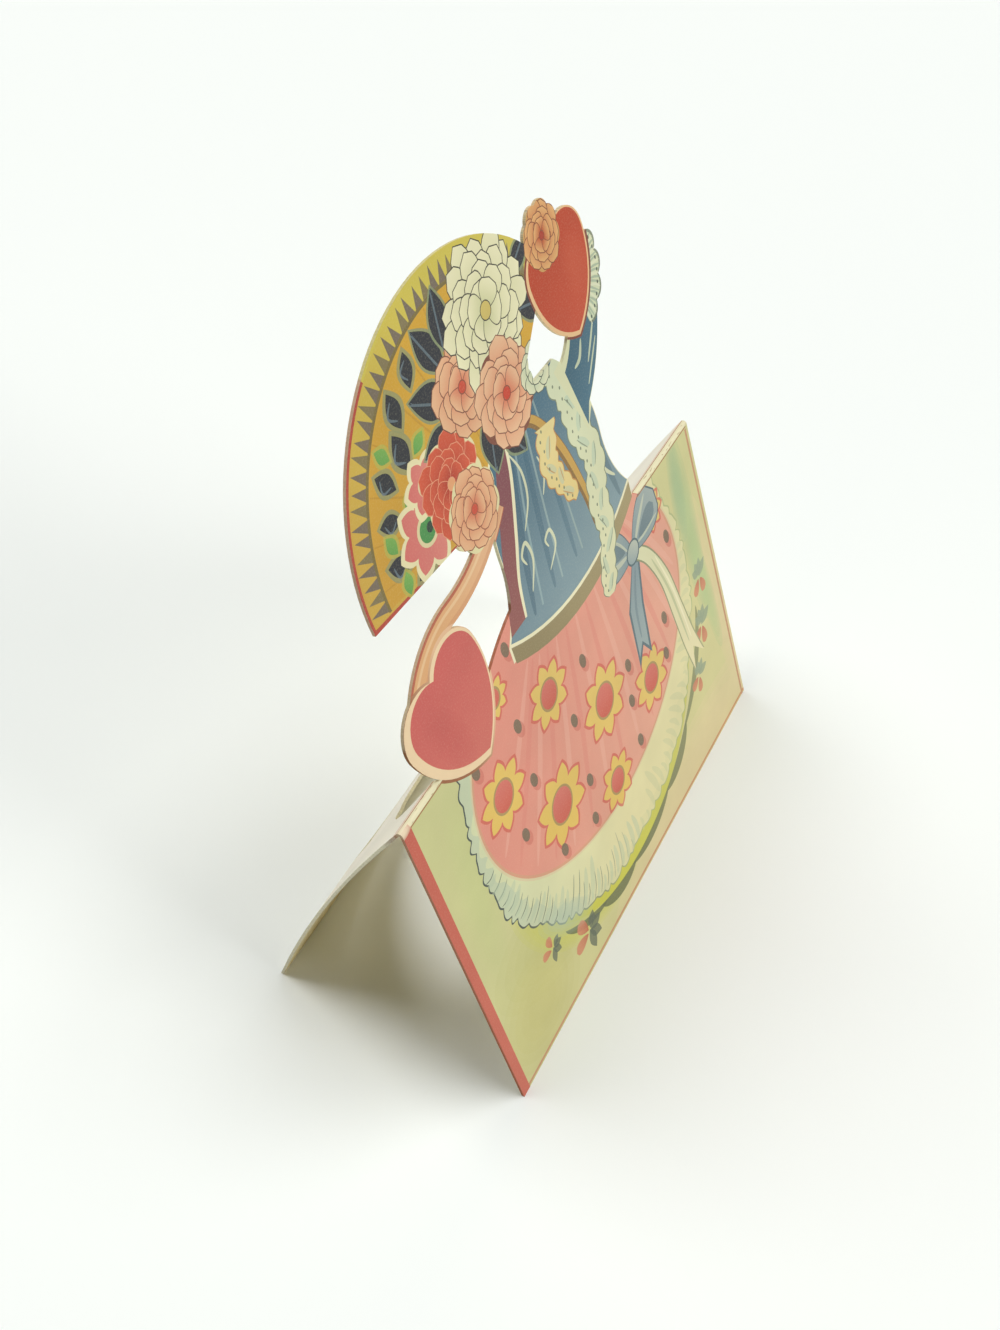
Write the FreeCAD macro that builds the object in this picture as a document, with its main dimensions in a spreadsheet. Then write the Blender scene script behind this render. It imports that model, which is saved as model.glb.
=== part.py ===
import FreeCAD, Part
import math
import os
import Sketcher

# A die-cut stand-up greeting card: one sheet of printed board, creased once across its middle.
# The front panel leans back and the back panel is the easel leg. The picture is cut out of the
# half that folds back, so it stays flat with the front panel and stands up above the crease,
# and it leaves a gap of its own outline in the back panel.
# Frame: X from left to right as the print is seen, Y towards the back, Z up, table at Z = 0.
# Places on the picture are given as X from the card's left edge and height above the crease.

doc = FreeCAD.newDocument("stand_up_card")
sheet = doc.addObject("Spreadsheet::Sheet", "card")

SIZES = [
    ("board", 0.45, "thickness of the board"),
    ("card_width", 90, "left edge to right edge"),
    ("panel_height", 60, "front panel, table edge to crease"),
    ("lean", 18.4, "front panel from upright, degrees"),
    ("crease_inside", 0.08, "inside radius of the crease"),
    ("crease_radius", "=board + crease_inside", "outside radius of the crease"),
    ("back_slope", 22.8, "back panel from upright, mean, degrees"),
    ("back_curl", 5.6, "half the turn of the curled back panel, degrees"),
    ("fan_radius", 29.4, "rim of the folding fan"),
    ("fan_centre_x", 38.5, "centre of the rim"),
    ("fan_centre_rise", 26.6, "centre of the rim"),
    ("fan_pivot_x", 40, "rivet that both guard sticks run to"),
    ("fan_pivot_rise", 22.4, "rivet that both guard sticks run to"),
    ("fan_left_stick", 175.6, "direction of the left guard stick, degrees"),
    ("fan_right_stick", 42.5, "direction of the right guard stick, degrees"),
    ("heart_fullness", 0.29, "lobe radius over heart width"),
    ("low_heart_x", 20.1, "tip of the lower heart"),
    ("low_heart_rise", -5.9, "tip of the lower heart, below the crease"),
    ("low_heart_width", 19.4, "across the lobes"),
    ("low_heart_height", 21, "tip to lobe tops"),
    ("low_heart_tilt", 17.2, "lean to the left, degrees"),
    ("top_heart_x", 66.7, "tip of the upper heart"),
    ("top_heart_rise", 30, "tip of the upper heart"),
    ("top_heart_width", 16.4, "across the lobes"),
    ("top_heart_height", 16.8, "tip to lobe tops"),
    ("top_heart_tilt", 5, "lean to the left, degrees"),
    ("cloth_x", 45.2, "middle of the round cloth"),
    ("cloth_crest", 9.6, "top of the round cloth"),
    ("cloth_radius", 38, "its rim where it rises over the crease"),
    ("root_depth", 3, "how far picture parts run down into the front panel"),
    ("urn_x", 50.2, "axis of the urn"),
    ("urn_foot_half", 19.1, "half width of its foot"),
    ("urn_foot_rise", 3.5, "top of its foot"),
    ("urn_waist_half", 15.2, "half width at the waist"),
    ("urn_waist_rise", 15.5, "height of the waist"),
    ("urn_foot_curve", 17, "radius of the flare under the waist"),
    ("urn_belly_curve", 21, "radius of the side above the waist"),
    ("urn_mouth_half", 8.5, "half width of the mouth"),
    ("urn_mouth_rise", 31, "height of the mouth"),
    ("ribbon_width", 3.6, "narrow ribbon on the left"),
    ("ribbon_bend_x", 22.5, "where the narrow ribbon turns from hollow to round"),
    ("ribbon_bend_rise", 17.15, "where the narrow ribbon turns from hollow to round"),
    ("ribbon_hang_curve", 23.1, "middle radius of the stretch towards the urn"),
    ("ribbon_hang_turn", 38, "its turn, degrees"),
    ("ribbon_drop_curve", 14.5, "middle radius of the stretch towards the heart"),
    ("ribbon_drop_turn", 60, "its turn, degrees"),
    ("sash_low_x", 64.6, "where the wide sash leaves the urn"),
    ("sash_low_rise", 20.3, "where the wide sash leaves the urn"),
    ("sash_slope", 52.4, "its direction, degrees"),
    ("sash_length", 12.5, "from the urn to behind the frill"),
    ("sash_width", 8.4, "across its upper end"),
    ("sash_low_curve", 24, "radius of its lower side"),
    ("sash_high_curve", 10, "radius of its upper side"),
    ("frill_x", 67.4, "centre of the ruffle behind the upper heart"),
    ("frill_rise", 37.3, "centre of the ruffle behind the upper heart"),
    ("frill_radius", 7.9, "circle through the bottoms of its scallops"),
    ("frill_start", -72, "direction of its first scallop, degrees"),
    ("frill_step", 26, "turn from one scallop to the next, degrees"),
    ("scallop_bulge", 0.56, "scallop radius over the distance between its ends"),
    ("bloom_x", 33.4, "blossom left of the urn"),
    ("bloom_rise", 25, "blossom left of the urn"),
    ("bloom_radius", 5.2, "circle through the bottoms between its petals"),
    ("mouth_bloom_x", 46.6, "blossom over the urn's mouth"),
    ("mouth_bloom_rise", 33.2, "blossom over the urn's mouth"),
    ("mouth_bloom_radius", 6.2, "circle through the bottoms between its petals"),
    ("rosette_x", 63.7, "rosette on the upper heart"),
    ("rosette_rise", 46.2, "rosette on the upper heart"),
    ("rosette_radius", 4.1, "circle through the bottoms between its petals"),
    ("petal_bulge", 0.62, "petal radius over the distance between its ends"),
]
PETALS = 8
SCALLOPS = 4

for row, (alias, size, note) in enumerate(SIZES, start=1):
    sheet.set("A%d" % row, note)
    sheet.set("B%d" % row, str(size))
    sheet.setAlias("B%d" % row, alias)
doc.recompute()


def number(expression):
    """What an expression in the sheet's sizes comes to now, as a plain number."""
    found = sheet.evalExpression(expression)
    return float(getattr(found, "Value", found))


def polar(x, rise, reach, angle):
    """The point at a distance and a direction from (x, rise), as two expressions."""
    return ("%s + (%s) * cos(%s)" % (x, reach, angle), "%s + (%s) * sin(%s)" % (rise, reach, angle))


def straight():
    """An edge with no curve."""
    return None


def hollow(radius):
    """An edge whose centre lies on the right of the way that the outline runs."""
    return (radius, -1)


def round_out(radius):
    """An edge whose centre lies on the left of the way that the outline runs."""
    return (radius, 1)


def arc_between(start, end, radius, side):
    """The short arc from start to end, with its centre on the given side."""
    half = (end - start) * 0.5
    rest = math.sqrt(max(radius**2 - half.Length**2, 0.0))
    across = FreeCAD.Vector(-half.y, half.x, 0).normalize() * side
    centre = start + half + across * rest
    first, last = (start, end) if side > 0 else (end, start)
    from_angle = math.atan2(first.y - centre.y, first.x - centre.x)
    to_angle = math.atan2(last.y - centre.y, last.x - centre.x)
    if to_angle < from_angle:
        to_angle += 2 * math.pi
    circle = Part.Circle(centre, FreeCAD.Vector(0, 0, 1), radius)
    return Part.ArcOfCircle(circle, from_angle, to_angle)


def trace(sketch, corners, edges):
    """Draw a closed outline. Its corners are pinned, and its arcs have their radii, by the sheet."""
    places = [FreeCAD.Vector(number(x), number(rise), 0) for x, rise in corners]
    ends = []
    for index, edge in enumerate(edges):
        start = places[index]
        end = places[(index + 1) % len(places)]
        if edge is None:
            drawn = sketch.addGeometry(Part.LineSegment(start, end))
            ends.append((drawn, 1, 2))
        else:
            radius, side = edge
            drawn = sketch.addGeometry(arc_between(start, end, number(radius), side))
            ends.append((drawn, 1, 2) if side > 0 else (drawn, 2, 1))
    for index, (drawn, start, end) in enumerate(ends):
        following, begin = ends[(index + 1) % len(ends)][:2]
        sketch.addConstraint(Sketcher.Constraint("Coincident", drawn, end, following, begin))
    for (drawn, start, end), (x, rise), edge in zip(ends, corners, edges):
        for direction, expression in (("DistanceX", x), ("DistanceY", rise)):
            pin = Sketcher.Constraint(direction, drawn, start, number(expression))
            sketch.setExpression("Constraints[%d]" % sketch.addConstraint(pin), expression)
        if edge is not None:
            bend = Sketcher.Constraint("Radius", drawn, number(edge[0]))
            sketch.setExpression("Constraints[%d]" % sketch.addConstraint(bend), edge[0])


# Outlines of the picture parts, each closed and drawn anticlockwise.


def fan(sketch):
    """Open folding fan: a round rim between two straight guard sticks."""
    corners = [("card.fan_pivot_x", "card.fan_pivot_rise")]
    for stick in ("card.fan_right_stick", "card.fan_left_stick"):
        away_x = "(card.fan_pivot_x - card.fan_centre_x)"
        away_rise = "(card.fan_pivot_rise - card.fan_centre_rise)"
        along = "(%s * cos(%s) + %s * sin(%s))" % (away_x, stick, away_rise, stick)
        apart = "(%s^2 + %s^2 - card.fan_radius^2)" % (away_x, away_rise)
        reach = "sqrt(%s^2 - %s) - %s" % (along, apart, along)
        corners.append(polar("card.fan_pivot_x", "card.fan_pivot_rise", reach, stick))
    trace(sketch, corners, [straight(), round_out("card.fan_radius"), straight()])


def heart(name):
    """Heart standing on its tip and leaning left: two lobes and two long sides."""
    x, rise, tilt = ["card.%s_heart_%s" % (name, size) for size in ("x", "rise", "tilt")]
    wide, high = ["card.%s_heart_%s" % (name, size) for size in ("width", "height")]
    lobe = "card.heart_fullness * %s" % wide
    shoulder = "(%s - %s)" % (high, lobe)
    notch = "(%s + sqrt(%s * %s - (%s)^2 / 4))" % (shoulder, lobe, wide, wide)
    side = "((%s)^2 / 4 + %s^2) / %s" % (wide, shoulder, wide)

    def turned(across, along):
        return (
            "%s + (%s) * cos(%s) - (%s) * sin(%s)" % (x, across, tilt, along, tilt),
            "%s + (%s) * sin(%s) + (%s) * cos(%s)" % (rise, across, tilt, along, tilt),
        )

    corners = [
        turned("0", "0"),
        turned("%s / 2" % wide, shoulder),
        turned("0", notch),
        turned("-%s / 2" % wide, shoulder),
    ]
    edges = [round_out(side), round_out(lobe), round_out(lobe), round_out(side)]
    return lambda sketch: trace(sketch, corners, edges)


def cloth(sketch):
    """The top of the round cloth, down to just below the crease."""
    depth = "(card.cloth_radius - card.cloth_crest - card.root_depth)"
    half = "sqrt(card.cloth_radius^2 - %s^2)" % depth
    corners = [
        ("card.cloth_x - %s" % half, "-card.root_depth"),
        ("card.cloth_x + %s" % half, "-card.root_depth"),
    ]
    trace(sketch, corners, [straight(), round_out("card.cloth_radius")])


def urn(sketch):
    """Urn with a flared foot, a waist and rounded shoulders up to its mouth."""
    levels = [
        ("card.urn_foot_half", "-card.root_depth"),
        ("card.urn_foot_half", "card.urn_foot_rise"),
        ("card.urn_waist_half", "card.urn_waist_rise"),
        ("card.urn_mouth_half", "card.urn_mouth_rise"),
    ]
    right = [("card.urn_x + " + half, rise) for half, rise in levels]
    left = [("card.urn_x - " + half, rise) for half, rise in reversed(levels)]
    flare = hollow("card.urn_foot_curve")
    belly = round_out("card.urn_belly_curve")
    side = [straight(), flare, belly]
    trace(sketch, right + left, side + [straight()] + side[::-1] + [straight()])


def narrow_ribbon(sketch):
    """Ribbon from the urn to the lower heart: a hollow stretch, then a round one."""
    x, rise, half = "card.ribbon_bend_x", "card.ribbon_bend_rise", "card.ribbon_width / 2"
    upper = "(%s + card.ribbon_hang_curve)" % rise
    lower = "(%s - card.ribbon_drop_curve)" % rise
    under_hang = "card.ribbon_hang_curve + " + half
    over_hang = "card.ribbon_hang_curve - " + half
    over_drop = "card.ribbon_drop_curve + " + half
    under_drop = "card.ribbon_drop_curve - " + half
    hang_end = "(card.ribbon_hang_turn - 90)"
    drop_end = "(card.ribbon_drop_turn + 90)"
    corners = [
        polar(x, lower, under_drop, drop_end),
        (x, "%s - %s" % (rise, half)),
        polar(x, upper, under_hang, hang_end),
        polar(x, upper, over_hang, hang_end),
        (x, "%s + %s" % (rise, half)),
        polar(x, lower, over_drop, drop_end),
    ]
    edges = [
        hollow(under_drop),
        round_out(under_hang),
        straight(),
        hollow(over_hang),
        round_out(over_drop),
        straight(),
    ]
    trace(sketch, corners, edges)


def wide_sash(sketch):
    """Sash that spreads out of the urn's mouth and narrows up to the frill."""
    low = ("card.sash_low_x", "card.sash_low_rise")
    high = polar(low[0], low[1], "card.sash_length", "card.sash_slope")
    corners = [
        ("card.urn_x", "card.urn_waist_rise"),
        low,
        high,
        polar(high[0], high[1], "card.sash_width", "(card.sash_slope + 90)"),
        (
            "card.urn_x + card.urn_mouth_half - card.root_depth",
            "card.urn_mouth_rise - card.root_depth",
        ),
    ]
    edges = [
        straight(),
        round_out("card.sash_low_curve"),
        straight(),
        hollow("card.sash_high_curve"),
        straight(),
    ]
    trace(sketch, corners, edges)


def frill(sketch):
    """Ruffle behind the upper heart: a fan of scallops from one point."""
    corners = [("card.frill_x", "card.frill_rise")]
    for fold in range(SCALLOPS + 1):
        angle = "(card.frill_start + %d * card.frill_step)" % fold
        corners.append(polar("card.frill_x", "card.frill_rise", "card.frill_radius", angle))
    bulge = "card.scallop_bulge * 2 * card.frill_radius * sin(card.frill_step / 2)"
    scallops = [round_out(bulge)] * SCALLOPS
    trace(sketch, corners, [straight()] + scallops + [straight()])


def blossom(name):
    """Round blossom with its petals side by side."""
    x, rise, radius = ["card.%s_%s" % (name, size) for size in ("x", "rise", "radius")]
    step = 360 / PETALS
    bulge = "card.petal_bulge * 2 * %s * sin(%s)" % (radius, step / 2)
    corners = [polar(x, rise, radius, "%s" % (step * petal)) for petal in range(PETALS)]
    return lambda sketch: trace(sketch, corners, [round_out(bulge)] * PETALS)


PICTURE = [
    ("fan", fan),
    ("round_cloth", cloth),
    ("urn", urn),
    ("narrow_ribbon", narrow_ribbon),
    ("wide_sash", wide_sash),
    ("left_bloom", blossom("bloom")),
    ("mouth_bloom", blossom("mouth_bloom")),
    ("frill", frill),
    ("rosette", blossom("rosette")),
    ("lower_heart", heart("low")),
    ("upper_heart", heart("top")),
]


# Offcuts: the picture's two windows have no board in the back panel's gap either.


def offcut(middles):
    """The ground between parts of the picture, as a polygon through their middles."""
    return lambda sketch: trace(sketch, middles, [straight()] * len(middles))


top_heart_middle = polar(
    "card.top_heart_x", "card.top_heart_rise", "card.top_heart_height / 2", "(90 + card.top_heart_tilt)"
)
fan_right_end = polar("card.fan_pivot_x", "card.fan_pivot_rise", "card.fan_radius", "card.fan_right_stick")
sash_middle = polar("card.sash_low_x", "card.sash_low_rise", "card.sash_length / 2", "card.sash_slope")


def along_hang(turn):
    """A point on the narrow ribbon's middle line, on its stretch towards the urn."""
    centre = "card.ribbon_bend_rise + card.ribbon_hang_curve"
    return polar("card.ribbon_bend_x", centre, "card.ribbon_hang_curve", "(%s - 90)" % turn)


def along_drop(turn):
    """A point on the narrow ribbon's middle line, on its stretch towards the heart."""
    centre = "card.ribbon_bend_rise - card.ribbon_drop_curve"
    return polar("card.ribbon_bend_x", centre, "card.ribbon_drop_curve", "(%s + 90)" % turn)


under_ribbon = offcut(
    [
        ("card.low_heart_x", "card.low_heart_rise"),
        ("card.cloth_x", "0"),
        ("card.urn_x", "card.urn_waist_rise"),
        along_hang("card.ribbon_hang_turn"),
        along_hang("0"),
        along_drop("card.ribbon_drop_turn / 2"),
        along_drop("card.ribbon_drop_turn"),
    ]
)
over_sash = offcut(
    [
        ("card.mouth_bloom_x", "card.mouth_bloom_rise"),
        ("card.urn_x + card.urn_mouth_half", "card.urn_waist_rise"),
        sash_middle,
        ("card.top_heart_x", "card.top_heart_rise"),
        top_heart_middle,
        fan_right_end,
    ]
)
OFFCUTS = [("under_ribbon", under_ribbon), ("over_sash", over_sash)]


# The card's side, seen along X.

card = doc.addObject("PartDesign::Body", "folded_card")
card.Label = "folded_card"
origin_plane = {plane.Role: plane for plane in card.Origin.OriginFeatures}

PANEL_RUN = "(card.panel_height - card.crease_radius)"
CREASE_Y = "(%s * sin(card.lean) + card.crease_radius * cos(card.lean))" % PANEL_RUN
CREASE_Z = "(%s * cos(card.lean) - card.crease_radius * sin(card.lean))" % PANEL_RUN
TOP_SLOPE = "(card.back_slope + card.back_curl)"
BACK_DROP = "(%s + card.crease_radius * sin(%s))" % (CREASE_Z, TOP_SLOPE)
BACK_CURVE = "%s / (2 * sin(card.back_curl) * cos(card.back_slope))" % BACK_DROP
FOOT_SPREAD = "(%s + card.crease_radius * cos(%s) + %s * tan(card.back_slope))" % (
    CREASE_Y,
    TOP_SLOPE,
    BACK_DROP,
)


def side_view(name, inset):
    """Front panel, crease and curled back panel, moved inwards and closed along the table."""
    sketch = card.newObject("Sketcher::SketchObject", name)
    sketch.AttachmentSupport = (origin_plane["YZ_Plane"], [""])
    sketch.MapMode = "FlatFace"
    bend = "(card.crease_radius - %s)" % inset
    curve = "(%s - %s)" % (BACK_CURVE, inset)
    centre_y = "(%s - (%s - card.crease_radius) * cos(%s))" % (CREASE_Y, BACK_CURVE, TOP_SLOPE)
    centre_z = "(%s - (%s - card.crease_radius) * sin(%s))" % (CREASE_Z, BACK_CURVE, TOP_SLOPE)
    corners = [
        ("%s / cos(card.lean)" % inset, "0"),
        ("%s + sqrt(%s^2 - %s^2)" % (centre_y, curve, centre_z), "0"),
        polar(CREASE_Y, CREASE_Z, bend, TOP_SLOPE),
        polar(CREASE_Y, CREASE_Z, bend, "(180 - card.lean)"),
    ]
    trace(sketch, corners, [straight(), round_out(curve), round_out(bend), straight()])
    return sketch


def cut(name, sketch):
    """Cut away everything on the side that the sketch faces."""
    pocket = card.newObject("PartDesign::Pocket", name)
    pocket.Profile = sketch
    pocket.Type = "ThroughAll"
    pocket.Reversed = True
    return pocket


wedge = card.newObject("PartDesign::Pad", "wedge")
wedge.Profile = side_view("outside_of_sheet", "0")
wedge.setExpression("Length", "card.card_width")
doc.recompute()
solid_wedge = card.Shape.Volume

cut("one_board_thick", side_view("inside_of_sheet", "card.board"))
doc.recompute()
folded_sheet = card.Shape.Volume
print("tent: solid %.0f, as a folded sheet %.0f mm3" % (solid_wedge, folded_sheet))


# The gap in the back panel: every part of the picture, laid down from the crease along the leg.


def leg_sketch(name):
    """A sketch just inside the back panel, facing out, with its Y down the leg from the crease."""
    sketch = card.newObject("Sketcher::SketchObject", name)
    sketch.AttachmentSupport = (origin_plane["XZ_Plane"], [""])
    sketch.MapMode = "FlatFace"
    sketch.AttachmentOffset = FreeCAD.Placement(
        FreeCAD.Vector(), FreeCAD.Rotation(FreeCAD.Vector(1, 0, 0), 180 + number("card.back_slope"))
    )
    sketch.setExpression("AttachmentOffset.Rotation.Angle", "180 + card.back_slope")
    slope = "card.back_slope"
    inward = "-card.board * sin(%s) + card.crease_radius * cos(%s)" % (slope, slope)
    forward = "card.board * cos(%s) + card.crease_radius * sin(%s)" % (slope, slope)
    sketch.setExpression("AttachmentOffset.Base.y", "%s + %s" % (CREASE_Z, inward))
    sketch.setExpression("AttachmentOffset.Base.z", "%s - %s" % (forward, CREASE_Y))
    return sketch


for part, outline in PICTURE + OFFCUTS:
    laid_down = leg_sketch("gap_of_" + part)
    outline(laid_down)
    cut("cut_" + part, laid_down)
doc.recompute()
gapped_sheet = card.Shape.Volume
print("gap in the back panel takes %.0f mm3" % (folded_sheet - gapped_sheet))


# The front panel's face and the picture that stands up from it.


def front_sketch(name):
    """A sketch on the printed face, with its Y up the panel from the crease."""
    sketch = card.newObject("Sketcher::SketchObject", name)
    sketch.AttachmentSupport = (origin_plane["XZ_Plane"], [""])
    sketch.MapMode = "FlatFace"
    sketch.AttachmentOffset = FreeCAD.Placement(
        FreeCAD.Vector(), FreeCAD.Rotation(FreeCAD.Vector(1, 0, 0), -number("card.lean"))
    )
    sketch.setExpression("AttachmentOffset.Rotation.Angle", "-card.lean")
    sketch.setExpression("AttachmentOffset.Base.y", "card.panel_height * cos(card.lean)")
    sketch.setExpression("AttachmentOffset.Base.z", "-card.panel_height * sin(card.lean)")
    return sketch


def panel_face(sketch):
    """The front panel between its foot and the crease."""
    foot = "card.root_depth - card.panel_height"
    crease = "-card.crease_radius"
    corners = [("0", foot), ("card.card_width", foot), ("card.card_width", crease), ("0", crease)]
    trace(sketch, corners, [straight()] * 4)


for part, outline in [("panel", panel_face)] + PICTURE:
    standing = front_sketch("outline_of_" + part)
    outline(standing)
    pad = card.newObject("PartDesign::Pad", part)
    pad.Profile = standing
    pad.Reversed = True
    pad.setExpression("Length", "card.board")
doc.recompute()
print("standing picture adds %.0f mm3" % (card.Shape.Volume - gapped_sheet))

# The card's middle at the table is the part's origin.
card.setExpression("Placement.Base.x", "-card.card_width / 2")
card.setExpression("Placement.Base.y", "-%s / 2" % FOOT_SPREAD)
doc.recompute()

for item in doc.Objects:
    if {"Invalid", "Error"} & set(item.State):
        raise RuntimeError("%s did not compute: %s" % (item.Label, item.State))

os.makedirs("parts", exist_ok=True)
for body in [item for item in doc.Objects if item.isDerivedFrom("PartDesign::Body")]:
    if body.Shape.isNull() or not body.Shape.isValid() or len(body.Shape.Solids) != 1:
        raise RuntimeError("%s is not one valid solid" % body.Label)
    print(body.Label, "%.0f mm3" % body.Shape.Volume, body.Shape.BoundBox)
    body.Shape.exportStep("parts/%s.step" % body.Label)
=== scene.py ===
import math

import bmesh
import bpy
from mathutils import Matrix, Vector
from mathutils.geometry import delaunay_2d_cdt


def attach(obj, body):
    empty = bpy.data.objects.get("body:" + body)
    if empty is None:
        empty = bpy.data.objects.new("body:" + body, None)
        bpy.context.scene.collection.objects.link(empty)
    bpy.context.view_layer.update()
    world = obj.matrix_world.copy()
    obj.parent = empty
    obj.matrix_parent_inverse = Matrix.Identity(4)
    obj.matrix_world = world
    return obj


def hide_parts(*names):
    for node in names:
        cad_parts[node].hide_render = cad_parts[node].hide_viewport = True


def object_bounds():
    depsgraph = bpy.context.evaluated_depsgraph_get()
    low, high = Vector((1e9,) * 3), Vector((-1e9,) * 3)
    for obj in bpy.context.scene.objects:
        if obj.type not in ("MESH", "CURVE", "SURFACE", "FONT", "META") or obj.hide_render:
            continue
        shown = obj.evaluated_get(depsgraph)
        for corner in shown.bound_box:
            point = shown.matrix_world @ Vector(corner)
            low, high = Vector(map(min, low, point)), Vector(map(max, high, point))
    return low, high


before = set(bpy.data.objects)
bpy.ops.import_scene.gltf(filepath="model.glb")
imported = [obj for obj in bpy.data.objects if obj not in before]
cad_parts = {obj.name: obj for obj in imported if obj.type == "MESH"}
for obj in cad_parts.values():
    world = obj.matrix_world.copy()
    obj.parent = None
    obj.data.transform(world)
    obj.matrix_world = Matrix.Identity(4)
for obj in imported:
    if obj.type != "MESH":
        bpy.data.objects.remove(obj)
cad_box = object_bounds()


# The sheet: one piece of cream card stock, 90 by 122 mm and 0.45 mm thick, printed on one side.
# It is creased across the middle to stand up as a tent. Places on it are (x, s) in millimetres:
# x from the left edge, s up the sheet from the edge that the front panel stands on.

MM = 1000
WIDTH = 90.0
PANEL_HEIGHT = 60.0
BOARD = 0.45
CREASE_INSIDE = 0.08
LEAN = math.radians(18.4)
CREASE_RADIUS = BOARD + CREASE_INSIDE
FRONT_RUN = PANEL_HEIGHT - CREASE_RADIUS
LEG_SLOPE = math.radians(22.8)
LEG_CURL = math.radians(5.6)

front_foot = cad_box[0][1] * MM
crease_y = FRONT_RUN * math.sin(LEAN) + CREASE_RADIUS * math.cos(LEAN)
crease_z = FRONT_RUN * math.cos(LEAN) - CREASE_RADIUS * math.sin(LEAN)
bend_start = math.pi - LEAN
bend_end = LEG_SLOPE + LEG_CURL
bend_run = CREASE_RADIUS * (bend_start - bend_end)
leg_drop = crease_z + CREASE_RADIUS * math.sin(bend_end)
leg_radius = leg_drop / (2 * math.sin(LEG_CURL) * math.cos(LEG_SLOPE))
leg_y = crease_y - (leg_radius - CREASE_RADIUS) * math.cos(bend_end)
leg_z = crease_z - (leg_radius - CREASE_RADIUS) * math.sin(bend_end)
LEG_START = FRONT_RUN + bend_run
SHEET_END = LEG_START + leg_radius * 2 * LEG_CURL


def folded(x, s, inset, on_leg):
    """Where a place on the sheet comes to once it is folded, inset millimetres under the print."""
    if not on_leg or s <= FRONT_RUN:
        slope = LEAN
        y = s * math.sin(LEAN) + inset * math.cos(LEAN)
        z = s * math.cos(LEAN) - inset * math.sin(LEAN)
    elif s < LEG_START:
        slope = bend_start - (s - FRONT_RUN) / CREASE_RADIUS
        y = crease_y + (CREASE_RADIUS - inset) * math.cos(slope)
        z = crease_z + (CREASE_RADIUS - inset) * math.sin(slope)
    else:
        slope = bend_end - (s - LEG_START) / leg_radius
        y = leg_y + (leg_radius - inset) * math.cos(slope)
        z = leg_z + (leg_radius - inset) * math.sin(slope)
        slope = -slope
    if z < 0:
        y -= z * math.tan(slope)
        z = 0.0
    return Vector((x - WIDTH / 2, y + front_foot, z)) / MM


SAME_PLACE = 1e-7
IN_PLANE = 5e-7
FACES_OUT = 0.99
ON_CREASE = 0.01


def die_line(node):
    """The cut edges of the front panel and its picture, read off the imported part: loops of (x, s)."""
    board = bmesh.new()
    board.from_mesh(node.data)
    bmesh.ops.remove_doubles(board, verts=board.verts, dist=SAME_PLACE)
    outwards = Vector((0, -math.cos(LEAN), math.sin(LEAN)))
    upwards = Vector((0, math.sin(LEAN), math.cos(LEAN)))
    foot = Vector((0, front_foot / MM, 0))
    printed = []
    for face in board.faces:
        level = max(abs((vert.co - foot).dot(outwards)) for vert in face.verts)
        if level < IN_PLANE and face.normal.dot(outwards) > FACES_OUT:
            printed.append(face)
    following = {}
    for face in printed:
        for loop in face.loops:
            if not any(other in printed for other in loop.edge.link_faces if other is not face):
                following[loop.vert] = loop.link_loop_next.vert
    loops = []
    while following:
        start = next(iter(following))
        vert, loop = start, []
        while vert in following:
            s = (vert.co - foot).dot(upwards) * MM
            s = FRONT_RUN if abs(s - FRONT_RUN) < ON_CREASE else max(s, 0.0)
            loop.append((min(max(vert.co.x * MM + WIDTH / 2, 0.0), WIDTH), s))
            vert = following.pop(vert)
        loops.append(loop)
    board.free()
    return sorted(loops, key=lambda loop: -abs(signed_area(loop)))


def signed_area(loop):
    return sum(a[0] * b[1] - b[0] * a[1] for a, b in zip(loop, loop[1:] + loop[:1])) / 2


die_cut, *windows = die_line(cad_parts["folded_card"])


# The print: flat lithographic inks on the cream side, laid one over the other. Each is an
# outline on the sheet with a colour that may shade from one place to another, or lie thinly.

print_layers = []


def linear(colour):
    """sRGB hex to the linear values that Blender's colours hold."""
    parts = [int(colour[place : place + 2], 16) / 255 for place in (1, 3, 5)]
    return [part / 12.92 if part <= 0.04045 else ((part + 0.055) / 1.055) ** 2.4 for part in parts]


def ink(colour, loop, shade=None, way=None, cover=1.0, leg=False):
    """Lay an ink inside a loop. With shade, it goes from colour at way[0] to shade at way[1]."""
    if signed_area(loop) < 0:
        loop = loop[::-1]
    print_layers.append((linear(colour), linear(shade or colour), way, cover, leg, loop))


def wash(colour, loop, cover, least=0.35, steps=5, leg=False):
    """Lay a thin ink that fades towards its outline: smaller and smaller loops of it."""
    middle = [sum(values) / len(loop) for values in zip(*loop)]
    share = 1 - (1 - cover) ** (1 / steps)
    for step in range(steps):
        size = 1 - (1 - least) * step / (steps - 1)
        shrunk = [tuple(m + (v - m) * size for m, v in zip(middle, at)) for at in loop]
        ink(colour, shrunk, cover=share, leg=leg)


def ink_at(layer, x, s):
    colour, shade, way = layer[:3]
    if way is None:
        return colour
    (x0, s0), (x1, s1) = way
    run = (x1 - x0) ** 2 + (s1 - s0) ** 2
    share = ((x - x0) * (x1 - x0) + (s - s0) * (s1 - s0)) / run
    return [a + (b - a) * min(max(share, 0), 1) for a, b in zip(colour, shade)]


CREAM = "#e9e2bd"


# Front panel: the pale green ground of the card's lower half, with a red rule down its left
# edge and thin brown rules along the bottom and the right. It grows paler and warmer towards
# the bottom right, and the red rule paler towards the bottom: painted glare.

BLEED = 1
GROUND = "#c8c78e"
GROUND_GLARE = "#dccb9c"
RULE_RED = "#c2604f"
RULE_BROWN = "#c2906c"


def block(left, low, right, high):
    return [(left, low), (right, low), (right, high), (left, high)]


def on_ellipse(at, reach, turn, grow=0.0):
    """A place on an ellipse, at a turn in degrees, grow millimetres outside it."""
    angle = math.radians(turn)
    return (at[0] + (reach[0] + grow) * math.cos(angle), at[1] + (reach[1] + grow) * math.sin(angle))


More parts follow.
